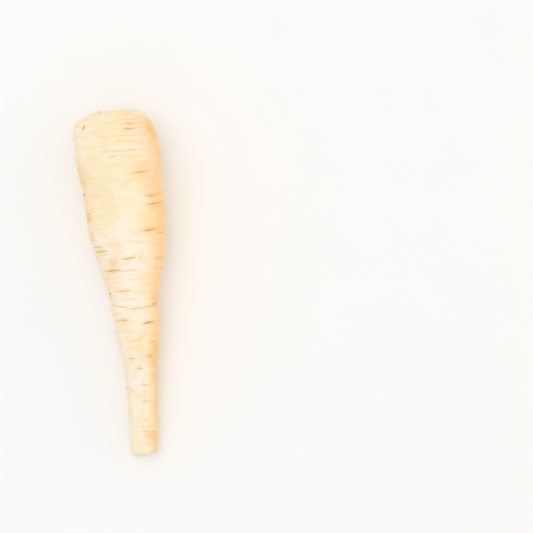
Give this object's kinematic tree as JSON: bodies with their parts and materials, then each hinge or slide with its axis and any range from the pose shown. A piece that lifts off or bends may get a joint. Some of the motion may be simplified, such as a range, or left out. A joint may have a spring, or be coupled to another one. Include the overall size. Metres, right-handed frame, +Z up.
{
  "type": "parsnip",
  "caption": "Whole topped and tailed parsnip root with a broad dished crown, tapering to a thin cut tail, lying on its side.",
  "frame": {"origin": "on the surface the root lies on, under the middle of its box", "axes": "+Y along the root towards its crown, +Z up from the surface, +X to the right of the root seen from above with its crown away from the viewer"},
  "size_m": [0.0404, 0.1634, 0.0396],
  "materials": {
    "skin": "satin"
  },
  "bodies": {
    "root": {"parsnip": "skin"}
  },
  "joints": []
}
